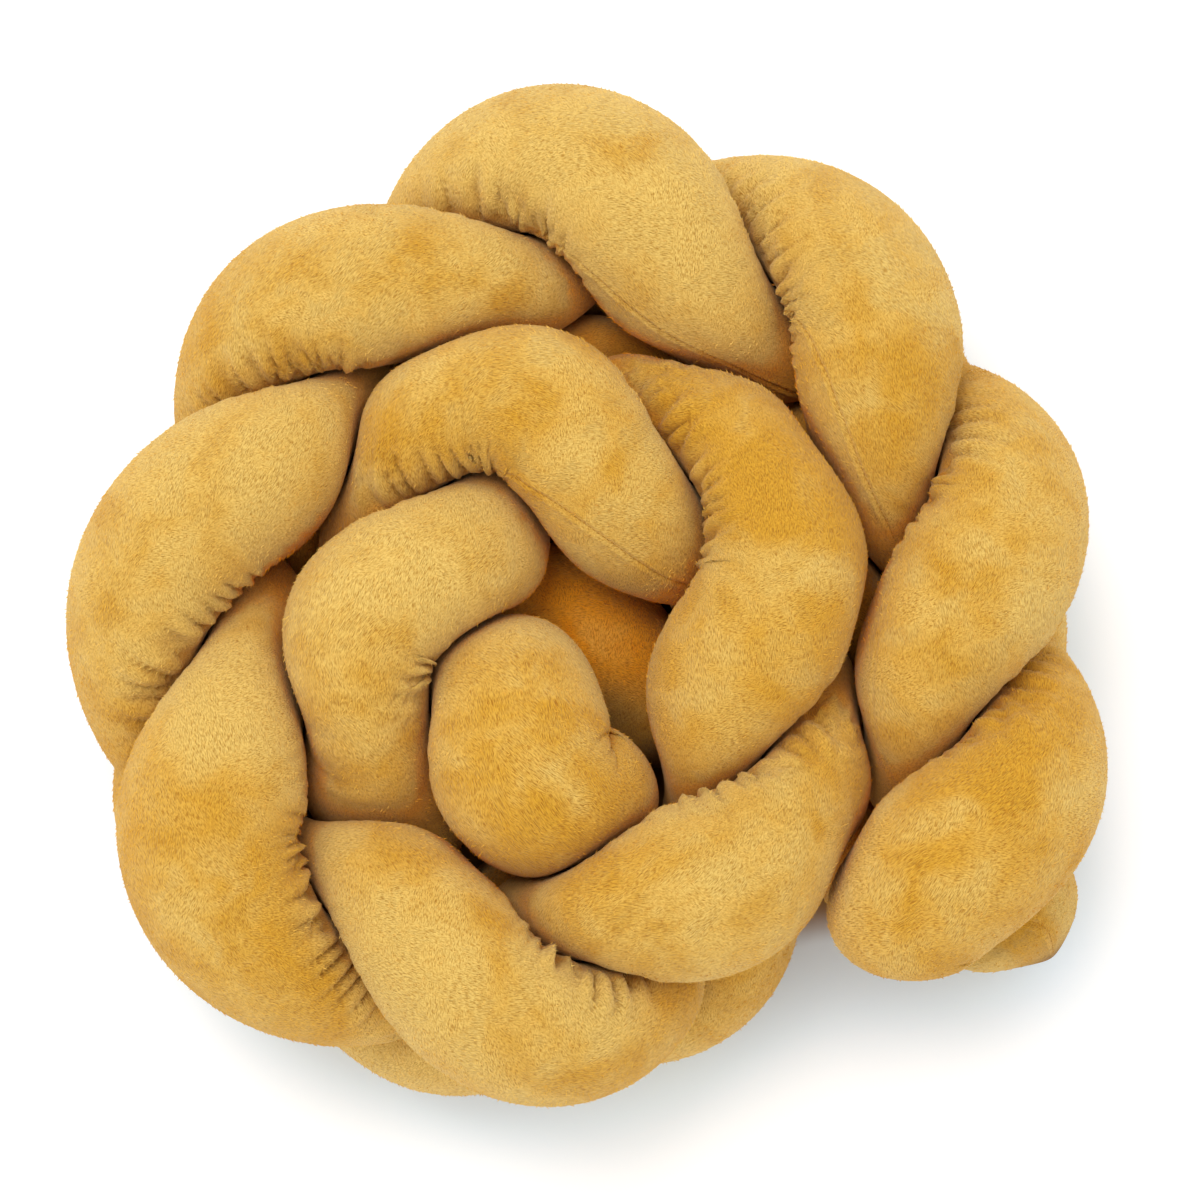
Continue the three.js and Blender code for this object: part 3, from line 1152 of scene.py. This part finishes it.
@dataclass
class PlushStrand:
    """One stuffed strand: its cover with gathers, puckers and a lengthwise seam.

    gathering has rows of a crest count since the strand last came over the top, and the share of its gathers
    that the cover has there. seam_profile has places beside the seam and how far the cover puffs up there.
    """

    plan: StrandPlan
    number: int
    form: StuffedForm
    cover: SlackCover
    puckers: EdgePuckers
    step: float
    fine_step: float = 2.1
    sides: int = 84
    seam_easing: int = 60
    seam_depth: float = 1.4
    seam_profile: tuple[Span, ...] = ((-2.6, 0.45), (-1.0, -0.5), (1.0, -0.5), (2.6, 0.45))
    end_places: tuple[float, ...] = (0.1, 0.35, 0.8, 1.3)
    crease_bend: float = 1.1
    gathering: tuple[Span, ...] = (
        (0.0, 0.3), (0.15, 0.9), (0.55, 1.0), (0.85, 0.8), (1.15, 0.05), (2.2, 0.05), (2.7, 0.15), (3.0, 0.3),
    )
    inner_easing: int = 30
    inner_below: float = -0.45
    inner_above: float = -0.1
    tallest_fold: float = 2.8
    soft_head: float = 60.0
    soft_tail: float = 130.0
    soft_rounds: int = 50
    loose_share: float = 2.5
    deep_from: float = 0.1
    deep_full: float = 0.8
    calm_end: float = 70.0
    gathered_from: float = 120.0
    hidden_below: float = 0.5
    free_above: float = 0.92
    fill: float = 0.85
    skin: Array = field(init=False)
    press: Array = field(init=False)
    rays: Array = field(init=False)
    points: Array = field(init=False)
    free: Array = field(init=False)
    folds: Array = field(init=False)
    depths: Array = field(init=False)
    columns: Array = field(init=False)
    along: Array = field(init=False)

    @property
    def line(self) -> Centreline:
        """The strand's centreline."""
        return self.form.lines[self.number]

    @property
    def radius(self) -> float:
        """Half the plain width of the strand."""
        return self.form.plait.radius

    def even_turns(self) -> Array:
        """Even angles round a ring, in radians."""
        return np.arange(self.sides) * FULL_TURN / self.sides

    def crest_count(self) -> Array:
        """The crest count at each of the finished rings."""
        return np.interp(self.along, self.line.along, self.line.place)

    def press_form(self) -> None:
        """Presses the strand's form, with its first column along the seam."""
        rows = np.array(self.plan.seam)
        degrees = np.interp(self.line.place, rows[:, 0], rows[:, 1])
        turns = np.radians(eased(degrees, self.seam_easing))[:, None] + self.even_turns()
        self.skin, self.press, self.rays = self.form.skin(self.number, turns)

    def gathered(self) -> Array:
        """How much the cover is gathered: most inside its turns where the strand dives, and not at its ends.

        Returns:
            One share for each point of the pressed skin.
        """
        line = self.line
        rows = np.array(self.gathering)
        share = np.interp((line.place - self.plan.top) % len(PLANS), rows[:, 0], rows[:, 1])
        for distance in (line.along, line.along[-1] - line.along):
            share = share * ramp(distance, self.calm_end, self.gathered_from)
        inner = self.form.bend_toward(line, self.rays * LEVEL, self.inner_easing) * self.radius
        return share[:, None] * ramp(inner, self.inner_below, self.inner_above)

    def shape(self, sky: SkyView) -> None:
        """Settles the cover on the pressed form and works the seam in.

        Args:
            sky: The sky seen from the pressed forms.
        """
        depth = sky.depth(self.skin.reshape(-1, 3)).reshape(self.press.shape)
        loose = np.clip(self.loose_share * (1 - depth), 0, 1) * self.gathered()
        moved = self.cover.settle(self.skin, self.press, self.rays, self.step, loose, self.plan.seed)
        outward = self.cover.normals(self.skin, self.rays)
        puckers = self.puckers.heights(self.skin, self.press, self.step, loose, self.plan.seed)
        moved += outward * puckers[..., None]
        folds = (moved * outward).sum(axis=2)
        moved -= outward * np.maximum(folds - self.tallest_fold, 0)[..., None]
        folds = np.minimum(folds, self.tallest_fold)
        settled = self.skin + moved
        settled[..., 2] = np.maximum(settled[..., 2], 0.0)
        free = ramp(self.press, self.hidden_below, self.free_above)
        values = np.stack([folds, free, depth], axis=-1)
        packed = self.with_finer_rings(self.with_seam_columns(np.concatenate([settled, values], axis=2)))
        self.points = packed[..., :3]
        self.folds, self.free, self.depths = np.moveaxis(packed[..., 3:], -1, 0)
        self.soften_ends()
        self.sink_seam()

    def soften_ends(self) -> None:
        """Rounds off the head and the tail of a strand where they leave the plait."""
        share = np.zeros(len(self.along))
        if self.plan.head:
            share += 1 - ramp(self.along, 0, self.soft_head)
        if self.plan.tail:
            share += 1 - ramp(self.along[-1] - self.along, 0, self.soft_tail)
        for _ in range(self.soft_rounds):
            tips = np.repeat(self.points[[0, -1]].mean(axis=1, keepdims=True), len(self.columns), axis=1)
            closed = np.concatenate([tips[:1], self.points, tips[1:]])
            around = (closed[:-2] + closed[2:] + beside(self.points)) / 4
            self.points += share[:, None, None] / 2 * (around - self.points)

    def with_seam_columns(self, rows: Array) -> Array:
        """Adds narrow columns of points on both sides of the seam, and notes the angles of all columns.

        Args:
            rows: Values of the rings' points at even angles, the first of them along the seam.

        Returns:
            The values with the columns added.
        """
        extra = np.array([offset / self.radius for offset, _ in self.seam_profile]) % FULL_TURN
        self.columns = np.sort(np.concatenate([self.even_turns(), extra]))
        read = read_round(np.swapaxes(rows, 0, 1), self.columns / (FULL_TURN / self.sides))
        return np.swapaxes(read, 0, 1)

    def with_finer_rings(self, rows: Array) -> Array:
        """Sets the rings closer together, closes the ends roundly, and notes the distances of all rings.

        Args:
            rows: Values of the rings' points.

        Returns:
            The finer rings' values.
        """
        line, inner = self.line, rows[1:-1]
        first, last = line.along[1], line.along[-2]
        along = np.linspace(first, last, round((last - first) / self.fine_step) + 1)
        finer = read_rows(inner, (along - first) / first)
        head = self.end_rings(inner[0], line.points[0], line.points[1], first)
        tail = self.end_rings(inner[-1], line.points[-1], line.points[-2], first)
        ends = np.array(self.end_places)
        self.along = np.concatenate([ends, along, line.along[-1] - ends[::-1]])
        return np.concatenate([head, finer, tail[::-1]])

    def end_rings(self, ring: Array, tip: Array, centre: Array, distance: float) -> Array:
        """Small rings that round off one end of the strand.

        Args:
            ring: Values of the first full ring's points.
            tip: The end of the centreline.
            centre: The first ring's place on the centreline.
            distance: How far that is from the end.

        Returns:
            The rings' values, smallest first.
        """
        places = np.array(self.end_places)
        shares = self.form.end_share(places, FAR) / self.form.end_share(np.array([distance]), FAR)
        rings = np.repeat(ring[None], len(places), axis=0)
        middles = tip + (centre - tip) * (places / distance)[:, None]
        rings[..., :3] = middles[:, None] + (ring[:, :3] - centre) * shares[:, None, None]
        return rings

    def firmness(self) -> Array:
        """How firmly the seam is drawn in on each ring."""
        rows = np.array(self.plan.seam)
        return np.interp(self.crest_count(), rows[:, 0], rows[:, 2])

    def sink_seam(self) -> None:
        """Draws the cover in along the seam's thread, and lets it puff up a little on both sides."""
        outward = self.outward()
        drawn = (self.firmness() * self.form.end_share(self.along, self.along[-1]))[:, None]
        for offset, height in (*self.seam_profile, (0.0, -self.seam_depth)):
            column = int(np.abs(self.columns - (offset / self.radius) % FULL_TURN).argmin())
            self.points[:, column] += outward[:, column] * height * drawn * self.free[:, column, None]

    def outward(self) -> Array:
        """Outward directions of the finished skin."""
        return SlackCover.normals(self.points, self.points - self.points.mean(axis=1, keepdims=True))

    def creases(self) -> Array:
        """How sharply each point lies in a valley between two folds.

        Returns:
            One share for each point.
        """
        between = FULL_TURN * self.radius / len(self.columns)
        bend = (beside(self.folds) - 2 * self.folds) / between**2
        bend[1:-1] += (self.folds[:-2] + self.folds[2:] - 2 * self.folds[1:-1]) / self.fine_step**2
        return np.clip(bend / self.crease_bend, 0, 1)

    def painted_deep_shade(self) -> Array:
        """How much warm painted shade each point has deep in the coil, none where strands press together."""
        return ramp(self.depths, self.deep_from, self.deep_full) * self.free**2

    def brushed(self) -> Array:
        """How much paler the pile at each point is painted, for the light that catches its nap there."""
        pale = self.form.plait.crest_value("pale", self.crest_count())
        return np.repeat(pale[:, None], len(self.columns), axis=1)

    def faces(self) -> tuple[list[list[int]], Array]:
        """The cover's faces, also laid out flat.

        Returns:
            The points of each face, and the places of their corners in metres round and along the strand.
        """
        rings, sides = self.points.shape[:2]
        ring, side = np.meshgrid(np.arange(rings - 1), np.arange(sides), indexing="ij")
        rows = np.stack([ring, ring, ring + 1, ring + 1], axis=-1).reshape(-1, 4)
        columns = np.stack([side, side + 1, side + 1, side], axis=-1).reshape(-1, 4)
        across = np.append(self.columns, FULL_TURN) * self.radius * MM
        along = self.along * MM
        found = (rows * sides + columns % sides).tolist()
        flat = [np.stack([across[columns], along[rows]], axis=-1).reshape(-1, 2)]
        here = np.arange(sides)
        middle = (across[:-1] + across[1:]) / 2
        for tip, row, first, second in ((0, 0, here + 1, here), (1, rings - 1, here, here + 1)):
            tips = np.full(sides, rings * sides + tip)
            edge = [row * sides + first % sides, row * sides + second % sides]
            found += np.stack([tips, *edge], axis=-1).tolist()
            turns = np.stack([middle, across[first], across[second]], axis=-1)
            flat.append(np.stack([turns, np.full_like(turns, along[row])], axis=-1).reshape(-1, 2))
        return found, np.concatenate(flat)

    def mesh(self) -> Mesh:
        """Makes the cover's mesh.

        Returns:
            A closed mesh in metres, with the cover's UV map, the values that place the finish's painted light
            and shade and the pile's tufts, and the pile's nap.
        """
        tips = self.points[[0, -1]].mean(axis=1)
        faces, flat = self.faces()
        made = bpy.data.meshes.new(f"{self.plan.name}_cover")
        made.from_pydata((np.concatenate([self.points.reshape(-1, 3), tips]) * MM).tolist(), [], faces)
        made.polygons.foreach_set("use_smooth", np.ones(len(made.polygons), bool))
        made.uv_layers.new(name="cover").uv.foreach_set("vector", flat.astype(np.float32).ravel())
        # free and crease mask the painted shade of pressed faces and fold valleys; free also thins out the
        # pile's tufts
        values = {"free": self.free, "crease": self.creases()}
        values |= {"painted_deep_shade": self.painted_deep_shade(), "brushed": self.brushed()}
        for name, rings in values.items():
            carry(made, name, np.append(rings, [rings[0].mean(), rings[-1].mean()]))
        nap = unit(np.gradient(self.points, axis=0)).reshape(-1, 3)
        carry(made, "nap", np.concatenate([nap, nap[:1], nap[-1:]]))
        made.update()
        return made

    def build(self, finish: PlushFinish) -> Piece:
        """Makes the cover's object and dresses it.

        Args:
            finish: The plush.

        Returns:
            The finished piece, in place of its CAD node.
        """
        piece = added(f"{self.plan.name}_plush", self.mesh())
        piece.data.materials.append(finish.material())
        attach(piece, BODY)
        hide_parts(self.plan.name)
        return piece


class NodeTool:
    """A Geometry Nodes tree with named inputs, which is run on an object and leaves plain mesh."""

    def __init__(self, name: str, sizes: dict[str, float], material: Material, seed: int) -> None:
        """Starts the tree with its inputs and output.

        Args:
            name: The tree's name.
            sizes: The named sizes that it takes.
            material: The material that it sets.
            seed: The seed for what is random in it.
        """
        self.tree = bpy.data.node_groups.new(name, "GeometryNodeTree")
        sockets = self.tree.interface
        for way in ("INPUT", "OUTPUT"):
            sockets.new_socket("Geometry", in_out=way, socket_type="NodeSocketGeometry")
        wanted = [(key, "NodeSocketFloat", size) for key, size in sizes.items()]
        wanted += [("Seed", "NodeSocketInt", seed), ("Material", "NodeSocketMaterial", material)]
        self.values = {}
        for key, kind, value in wanted:
            socket = sockets.new_socket(key, in_out="INPUT", socket_type=kind)
            self.values[socket.identifier] = value
        self.sheet = NodeSheet(self.tree)
        self.given = self.sheet.add("NodeGroupInput").outputs

    def run(self, name: str, start: Mesh, slot: str) -> Piece:
        """Runs the tree on a mesh, keeps the result as plain mesh and dresses it.

        Args:
            name: The name of the piece.
            start: The mesh that the tree starts from.
            slot: Not used.

        Returns:
            The piece, in the scene, without the modifier.
        """
        piece = added(name, start)
        modifier = piece.modifiers.new("nodes", "NODES")
        modifier.node_group = self.tree
        for identifier, value in self.values.items():
            modifier[identifier] = value
        ready = piece.evaluated_get(bpy.context.evaluated_depsgraph_get())
        plain = bpy.data.meshes.new_from_object(ready)
        piece.modifiers.remove(modifier)
        piece.data = plain
        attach(piece, BODY)
        return piece


@dataclass
class SeamStitches:
    """The machine stitches of one strand's seam, lying in its groove where they aren't lost in the pile."""

    strand: PlushStrand
    spacing: float = 3.0
    length: float = 2.3
    thickness: float = 0.55
    bead_detail: int = 1
    lift: float = 0.1
    slant: float = 0.25
    end_clear: float = 5.0
    least_firmness: float = 0.5

    def route(self) -> Mesh:
        """Lines along the groove, just above its bottom, where the pile leaves it bare.

        Returns:
            A mesh of edges only.
        """
        strand = self.strand
        bare = (strand.along > self.end_clear) & (strand.along < strand.along[-1] - self.end_clear)
        bare &= strand.firmness() > self.least_firmness
        line = (strand.points[:, 0] + strand.outward()[:, 0] * self.lift)[bare] * MM
        ring = np.flatnonzero(bare)
        edges = [(i, i + 1) for i in range(len(line) - 1) if ring[i + 1] == ring[i] + 1]
        made = bpy.data.meshes.new(f"{strand.plan.name}_seam_route")
        made.from_pydata(line.tolist(), edges, [])
        return made

    def tool(self, thread: Material) -> NodeTool:
        """Builds the Geometry Nodes that set one stitch after another along the route.

        Args:
            thread: The thread's material.

        Returns:
            The tool.
        """
        sizes = {
            "Spacing": self.spacing * MM,
            "Half Length": self.length * MM / 2,
            "Half Thickness": self.thickness * MM / 2,
            "Slant": self.slant,
        }
        made = NodeTool("seam stitches", sizes, thread, self.strand.plan.seed)
        sheet, given = made.sheet, made.given
        curve = sheet.out("GeometryNodeMeshToCurve", {0: given["Geometry"]})
        along = {"Curve": curve, "Length": given["Spacing"]}
        bead = {"Radius": 1.0, "Subdivisions": self.bead_detail}
        half = given["Half Thickness"]
        heading = sheet.out("GeometryNodeInputTangent")
        stitches = {
            "Points": sheet.out("GeometryNodeResampleCurve", along, mode="LENGTH"),
            "Instance": sheet.out("GeometryNodeMeshIcoSphere", bead),
            "Rotation": sheet.turned(heading, given["Slant"], given["Seed"]),
            "Scale": sheet.out("ShaderNodeCombineXYZ", {"X": half, "Y": half, "Z": given["Half Length"]}),
        }
        sheet.set_out(stitches, given["Material"])
        return made

    def build(self, thread: Material) -> Piece:
        """Sets the stitches and dresses them."""
        plan = self.strand.plan
        return self.tool(thread).run(f"{plan.name}_stitches", self.route(), plan.slot)


@dataclass
class ShortPile:
    """The tufts of one strand's plush that stand out of its nap, each a slim closed cone."""

    strand: PlushStrand
    tufts: int = 33000
    tuft_sides: int = 3
    length: float = 2.1
    width: float = 0.72
    size_span: Span = (0.7, 1.25)
    free_span: Span = (0.6, 1.0)
    rise: float = 0.42
    stray: float = 0.35
    patch_size: float = 60.0
    patch_detail: float = 2.0
    swirl: float = 8.8
    root_depth: float = 0.25

    def tool(self, plush: Material, density: float) -> NodeTool:
        """Builds the Geometry Nodes that set the tufts out over the cover.

        Args:
            plush: The tufts' material.
            density: How many tufts there are on a square metre of free cover.

        Returns:
            The tool.
        """
        sizes = {
            "Density": density,
            "Length": self.length * MM,
            "Half Width": self.width * MM / 2,
            "Rise": self.rise,
            "Stray": self.stray,
            "Patches": 1 / (self.patch_size * MM),
            "Swirl": self.swirl,
            "Root Height": -self.root_depth * MM,
        }
        made = NodeTool("short pile", sizes, plush, self.strand.plan.seed)
        sheet, given = made.sheet, made.given
        free, nap = (
            sheet.out("GeometryNodeInputNamedAttribute", {"Name": name}, data_type=kind)
            for name, kind in (("free", "FLOAT"), ("nap", "FLOAT_VECTOR"))
        )
        dense = sheet.math("MULTIPLY", given["Density"], sheet.spread(free, *self.free_span))
        scatter = {"Mesh": given["Geometry"], "Density": dense, "Seed": given["Seed"]}
        spots = sheet.add("GeometryNodeDistributePointsOnFaces", scatter).outputs
        normal = spots["Normal"]
        patches = sheet.noise(sheet.out("GeometryNodeInputPosition"), given["Patches"], self.patch_detail)
        angle = sheet.math("MULTIPLY", sheet.math("SUBTRACT", patches, NOISE_MEAN), given["Swirl"])
        brushed = {"Vector": nap, "Axis": normal, "Angle": angle}
        lying = sheet.out("ShaderNodeVectorRotate", brushed, rotation_type="AXIS_ANGLE")
        raised = sheet.vector("SCALE", {0: normal, "Scale": given["Rise"]})
        heading = sheet.vector("ADD", {0: lying, 1: raised})
        cone = {
            "Vertices": self.tuft_sides,
            "Radius Top": 0.0,
            "Radius Bottom": given["Half Width"],
            "Depth": given["Length"],
        }
        varied = {**dict(zip(RANDOM_SPAN, self.size_span)), "Seed": given["Seed"]}
        sunk = sheet.vector("SCALE", {0: normal, "Scale": given["Root Height"]})
        tufts = {
            "Points": sheet.out("GeometryNodeSetPosition", {"Geometry": spots["Points"], "Offset": sunk}),
            "Instance": sheet.out("GeometryNodeMeshCone", cone, fill_type="NGON"),
            "Rotation": sheet.turned(heading, given["Stray"], given["Seed"]),
            "Scale": sheet.add("FunctionNodeRandomValue", varied, data_type="FLOAT").outputs[RANDOM_NUMBER],
        }
        sheet.set_out(tufts, given["Material"])
        return made

    def build(self, plush: Material) -> Piece:
        """Sets the tufts out and dresses them.

        Args:
            plush: The tufts' material.

        Returns:
            The finished piece.
        """
        cover = self.strand.mesh()
        areas = np.zeros(len(cover.polygons))
        cover.polygons.foreach_get("area", areas)
        shares = np.zeros(len(areas))
        quads = self.strand.free[:-1].ravel()
        shares[: len(quads)] = quads
        density = self.tufts / float((areas * shares).sum())
        plan = self.strand.plan
        return self.tool(plush, density).run(f"{plan.name}_pile", cover, plan.slot)


@dataclass
class Studio:
    """White floor, soft light from the upper left and a camera that looks almost straight down."""

    floor_size: float = 9.0
    # painted light: the floor is bluer close to the object, to cancel the warm light that bounces onto it off
    # the plush
    floor_tone: Colour = (0.80, 0.90, 0.98)
    far_tone: Colour = (0.93, 0.92, 0.91)
    far_span: Span = (0.45, 1.0)
    # painted shade: the dark brown of the floor right under the object, seen through the gaps in the coil
    painted_under_shade: Colour = (0.30, 0.16, 0.05)
    under_span: Span = (0.04, 0.15)
    floor_roughness: float = 0.9
    floor_gloss: float = 0.1
    # painted light: how strongly the floor glows away from the object
    floor_glow: float = 0.25
    glow_span: Span = (0.15, 1.0)
    grid_reach: float = 0.6
    grid_cell: float = 0.01
    shade_shift: Span = (0.008, -0.010)
    shade_easing: int = 24
    sky_strength: float = 0.96
    key_place: Place = (-0.6, 0.7, 2.4)
    key_size: float = 1.3
    key_power: float = 20.0
    image_side: float = 1200.0
    millimetres_a_pixel: float = 0.53
    elevation: float = 81.0
    distance: float = 1500.0
    aim: Place = (-0.9, -1.9, 110.0)
    middle_column: float = 583.0
    sensor: float = 36.0

    def clearance(self, footprint: Array, rows: Array) -> Array:
        """How clear of the object each crossing of the floor's grid is, from 0 under it to 1; it shapes the
        floor's painted shadow.

        Args:
            footprint: Points of the object, in metres.
            rows: The grid's places along both axes.

        Returns:
            One value for each crossing.
        """
        cast = footprint[:, :2] + np.array(self.shade_shift)
        cells, _, _ = np.histogram2d(cast[:, 0], cast[:, 1], bins=(rows, rows))
        padded = np.pad(eased_map((cells > 0).astype(float), self.shade_easing), 1)
        return 1 - (padded[1:, 1:] + padded[:-1, 1:] + padded[1:, :-1] + padded[:-1, :-1]) / 4

    def floor(self, footprint: Array) -> None:
        """Lays the floor, white all round and softly shaded close to the object, where its painted glow fades
        out to leave a painted shadow.

        Args:
            footprint: Points of the object, in metres.
        """
        near = np.arange(-self.grid_reach, self.grid_reach, self.grid_cell)
        rows = np.concatenate([[-self.floor_size / 2], near, [self.floor_size / 2]])
        count = len(rows)
        x, y = np.meshgrid(rows, rows, indexing="ij")
        points = np.stack([x, y, np.zeros_like(x)], axis=-1).reshape(-1, 3)
        first = (np.arange(count - 1)[:, None] * count + np.arange(count - 1)).ravel()
        faces = np.stack([first, first + count, first + count + 1, first + 1], axis=-1)
        made = bpy.data.meshes.new("floor")
        made.from_pydata(points.tolist(), [], faces.tolist())
        carry(made, "clear", self.clearance(footprint, rows).ravel())
        made.materials.append(self.floor_paint())
        floor = added("floor", made)
        floor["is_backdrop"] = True

    def floor_paint(self) -> Material:
        """Builds the floor's white paint, which glows as painted light away from the object and leaves a
        painted shadow close to it.

        Returns:
            The material, which reads how clear of the object the floor is.
        """
        paint, sheet = NodeSheet.of_material("white floor")
        clear = sheet.carried("clear")
        # painted light: bluer near the object against the plush's warm bounced light, plainer farther away
        around = sheet.mix(sheet.spread(clear, *self.far_span), self.floor_tone, self.far_tone)
        # painted light: the floor glows more the clearer of the object it is, which leaves a painted shadow
        # round the object
        lit = sheet.spread(clear, *self.glow_span)
        sheet.surface(
            {
                # painted shade under the object, and the floor's tone round it
                "Base Color": sheet.mix(sheet.spread(clear, *self.under_span), self.painted_under_shade, around),
                "Roughness": self.floor_roughness,
                "Specular IOR Level": self.floor_gloss,
                "Emission Color": WHITE,
                "Emission Strength": sheet.math("MULTIPLY", lit, self.floor_glow),
            }
        )
        return paint

    def light(self) -> None:
        """Hangs the sky and the key light."""
        scene = bpy.context.scene
        scene.world = bpy.data.worlds.new("white sky")
        scene.world.use_nodes = True
        sky = scene.world.node_tree.nodes["Background"]
        sky.inputs["Color"].default_value = WHITE
        sky.inputs["Strength"].default_value = self.sky_strength
        lamp = bpy.data.lights.new("key light", "AREA")
        lamp.shape = "DISK"
        lamp.size = self.key_size
        lamp.energy = self.key_power
        key = added("key light", lamp)
        key.location = self.key_place
        key.rotation_euler = (-Vector(self.key_place)).to_track_quat("-Z", "Y").to_euler()
        scene.view_settings.view_transform = "Standard"

    def camera(self) -> None:
        """Sets the camera at the photograph's angle."""
        lens = bpy.data.cameras.new("camera")
        lens.sensor_width = self.sensor
        lens.lens = self.distance / self.millimetres_a_pixel * self.sensor / self.image_side
        lens.shift_x = 0.5 - self.middle_column / self.image_side
        angle = math.radians(self.elevation)
        back = Vector((0, -math.cos(angle), math.sin(angle))) * self.distance
        eye = added("camera", lens)
        eye.location = (Vector(self.aim) + back) * MM
        eye.rotation_euler = (math.pi / 2 - angle, 0, 0)
        bpy.context.scene.camera = eye

    def build(self, footprint: Array) -> None:
        """Sets up the whole studio round an object.

        Args:
            footprint: Points of the object, in metres.
        """
        self.camera()
        self.floor(footprint)
        self.light()


@dataclass
class BraidedBumper:
    """The whole bumper: three strands with their seams and pile."""

    plait: Plait = field(default_factory=Plait)
    cover: SlackCover = field(default_factory=SlackCover)
    puckers: EdgePuckers = field(default_factory=EdgePuckers)
    ring_step: float = 2.0
    finish_shift: float = 0.9

    def strands(self) -> list[PlushStrand]:
        """Shapes the strands round each other.

        Returns:
            The three strands.
        """
        form = StuffedForm(self.plait, [self.plait.centreline(plan, self.ring_step) for plan in PLANS])
        shared = (form, self.cover, self.puckers, self.ring_step)
        made = [PlushStrand(plan, number, *shared) for number, plan in enumerate(PLANS)]
        for strand in made:
            strand.press_form()
        sky = SkyView(np.concatenate([strand.skin.reshape(-1, 3) for strand in made]))
        for strand in made:
            strand.shape(sky)
        return made

    @staticmethod
    def settle_in_frame(strands: list[PlushStrand], low: Vector, high: Vector) -> None:
        """Moves the strands together so that they stand in the middle of the CAD model's box.

        Args:
            strands: The strands.
            low: The box's lowest corner, in metres.
            high: Its highest corner.
        """
        every = np.concatenate([strand.points.reshape(-1, 3) for strand in strands])
        shift = (np.array(low) + np.array(high)) / 2 / MM - (every.min(axis=0) + every.max(axis=0)) / 2
        shift[2] = low[2] / MM - every[:, 2].min()
        for strand in strands:
            strand.points = strand.points + shift

    def build(self, low: Vector, high: Vector) -> Array:
        """Builds every piece of the bumper in the CAD model's box.

        Args:
            low: The box's lowest corner, in metres.
            high: Its highest corner.

        Returns:
            The points of its covers, in metres.
        """
        strands = self.strands()
        self.settle_in_frame(strands, low, high)
        thread = ThreadFinish().material()
        for strand in strands:
            finish = PlushFinish(f"{strand.plan.slot} mustard", strand.number * self.finish_shift)
            cover = strand.build(finish)
            pile = ShortPile(strand).build(finish.pile_material())
            stitches = SeamStitches(strand).build(thread)
            for piece in (cover, pile, stitches):
                log.info("%s: %d faces", piece.name, len(piece.data.polygons))
        return np.concatenate([strand.points.reshape(-1, 3) for strand in strands]) * MM


def main() -> None:
    """Builds the bumper in the model's box, and the studio round it."""
    logging.basicConfig(level=logging.INFO, format="%(name)s: %(message)s")
    low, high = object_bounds()
    footprint = BraidedBumper().build(low, high)
    Studio().build(footprint)


if __name__ == "__main__":
    main()
